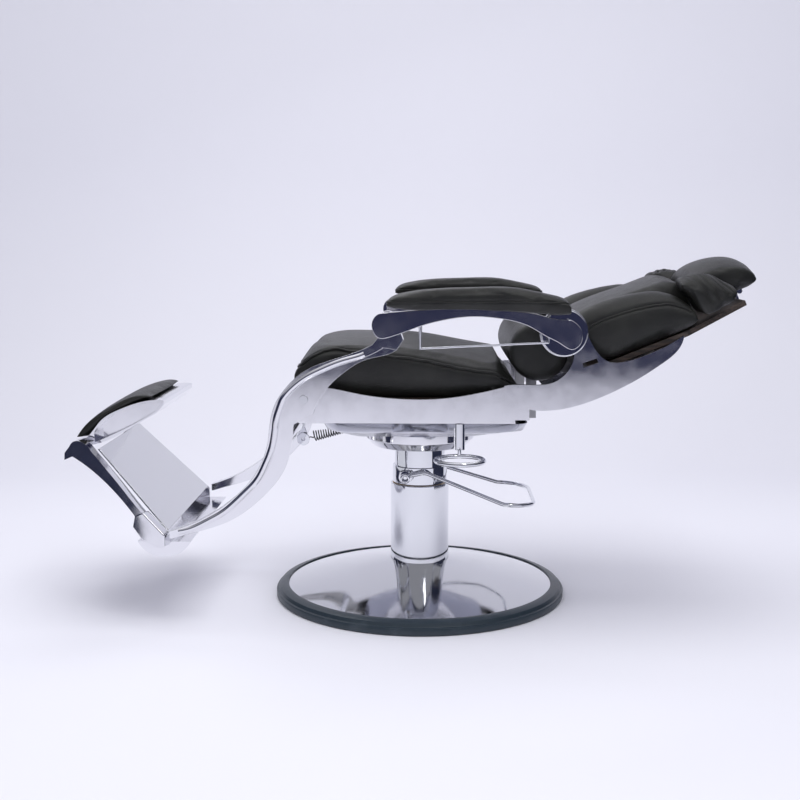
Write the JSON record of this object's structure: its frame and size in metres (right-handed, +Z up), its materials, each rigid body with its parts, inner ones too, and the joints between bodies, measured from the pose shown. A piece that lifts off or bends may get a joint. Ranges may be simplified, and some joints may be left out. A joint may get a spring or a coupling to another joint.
{
  "type": "hydraulic salon chair",
  "caption": "Reclining salon chair on a hydraulic swivel column, with leather pads, arched armrests, curved leg frames, a foot plate and a calf flap.",
  "frame": {"origin": "centre of the base's underside, on the axis of the column, where the chair stands on the floor", "axes": "+X towards the head, -X towards the feet, +Z up; the sitter's left is -Y; rest pose is fully reclined and lowered"},
  "size_m": [1.5398, 0.7046, 0.7959],
  "materials": {
    "cast_base": "painted dark grey, hidden under the cover",
    "ring_rubber": "satin dark blue-grey rubber",
    "stainless": "mirror-polished stainless steel",
    "chrome": "bright chrome plate",
    "steel": "plain machined steel, mostly hidden",
    "bush_bronze": "bare bronze",
    "aluminium": "polished cast aluminium",
    "board": "dark stained plywood",
    "leather": "black leather with an olive-grey sheen, soft gloss",
    "spring_steel": "dark oiled spring wire"
  },
  "bodies": {
    "base": {"base_plate": "cast_base", "base_bolts": "steel", "base_rubber_ring": "ring_rubber", "base_cover": "stainless", "outer_sleeve": "chrome", "sleeve_guide_bush": "bush_bronze", "thrust_bearing": "steel"},
    "ram": {"hydraulic_ram": "steel"},
    "seat": {"pump_body": "chrome", "pump_gland": "bush_bronze", "pump_collar": "chrome", "seat_boss": "aluminium", "seat_pan": "aluminium", "mount_plate": "steel", "mount_bolts": "steel", "seat_side_panel_right": "aluminium", "seat_side_panel_left": "aluminium", "seat_board": "board", "seat_front_rail": "steel", "seat_hinge_rail": "steel", "knee_pins": "chrome", "seat_cushion": "leather", "release_barrel": "chrome"},
    "pedal": {"pump_pedal": "chrome"},
    "release": {"release_ring": "chrome"},
    "leg": {"leg_frame_right": "aluminium", "leg_frame_left": "aluminium", "arm_front_pins": "chrome", "leg_cross_tie": "chrome", "spring_bolt": "chrome", "return_spring": "spring_steel", "heel_blocks": "aluminium", "foot_bars": "aluminium", "foot_plate": "stainless", "heel_beam": "aluminium", "toe_hinge_rod": "chrome"},
    "flap": {"flap_shell": "aluminium", "calf_pad": "leather"},
    "back": {"back_side_plate_right": "aluminium", "back_side_plate_left": "aluminium", "arm_pivot_discs": "chrome", "arm_rear_pins": "chrome", "back_shell": "aluminium", "back_board": "board", "back_frame": "steel", "back_hinge_rod": "steel", "lumbar_roll": "leather", "back_centre_pad": "leather", "back_bolsters": "leather", "back_wings": "leather", "headrest_clamp": "chrome", "clamp_screws": "steel"},
    "headrest_slide": {"headrest_strap": "chrome"},
    "headrest": {"headrest_bracket": "chrome", "headrest_cushion": "leather"},
    "arm_right": {"arm_casting_right": "aluminium", "arm_pad_right": "leather"},
    "arm_left": {"arm_casting_left": "aluminium", "arm_pad_left": "leather", "towel_bar": "chrome"}
  },
  "joints": [
    {"name": "column_swivel", "type": "hinge", "parent": "base", "child": "ram", "pos_m": [0, 0, 0.022], "axis": [0, 0, 1], "continuous": true},
    {"name": "seat_lift", "type": "slide", "parent": "ram", "child": "seat", "axis": [0, 0, 1], "range_m": [0, 0.16]},
    {"name": "pedal_pump", "type": "hinge", "parent": "seat", "child": "pedal", "pos_m": [-0.033, 0, 0.289], "axis": [0, -1, 0], "range_deg": [-14, 6], "stiffness_Nm_per_rad": 40},
    {"name": "recline_release", "type": "slide", "parent": "seat", "child": "release", "axis": [0, 0, 1], "range_m": [0, 0.01], "stiffness_N_per_m": 900, "springref_m": -0.004},
    {"name": "back_recline", "type": "hinge", "parent": "seat", "child": "back", "pos_m": [0.252, 0, 0.58], "axis": [0, -1, 0], "range_deg": [0, 52]},
    {"name": "leg_swing", "type": "hinge", "parent": "seat", "child": "leg", "pos_m": [-0.245, 0, 0.497], "axis": [0, -1, 0], "range_deg": [0, 19.5]},
    {"name": "armrest_right_pivot", "type": "hinge", "parent": "back", "child": "arm_right", "pos_m": [0.303, 0.291, 0.641], "axis": [0, -1, 0], "range_deg": [-56.8, 0]},
    {"name": "armrest_left_pivot", "type": "hinge", "parent": "back", "child": "arm_left", "pos_m": [0.303, -0.291, 0.641], "axis": [0, -1, 0], "range_deg": [-56.8, 0]},
    {"name": "calf_flap", "type": "hinge", "parent": "leg", "child": "flap", "pos_m": [-0.768, 0, 0.377], "axis": [0, -1, 0], "range_deg": [0, 120]},
    {"name": "headrest_height", "type": "slide", "parent": "back", "child": "headrest_slide", "axis": [0.9272, 0, 0.3746], "range_m": [0, 0.06]},
    {"name": "headrest_tilt", "type": "hinge", "parent": "headrest_slide", "child": "headrest", "pos_m": [0.72691, 0, 0.71795], "axis": [0, -1, 0], "range_deg": [-20, 9]}
  ],
  "couplings": [
    {"joint": "leg_swing", "follows": "back_recline", "ratio": 0.373},
    {"joint": "armrest_right_pivot", "follows": "back_recline", "ratio": -1.0896},
    {"joint": "armrest_left_pivot", "follows": "back_recline", "ratio": -1.0896}
  ]
}
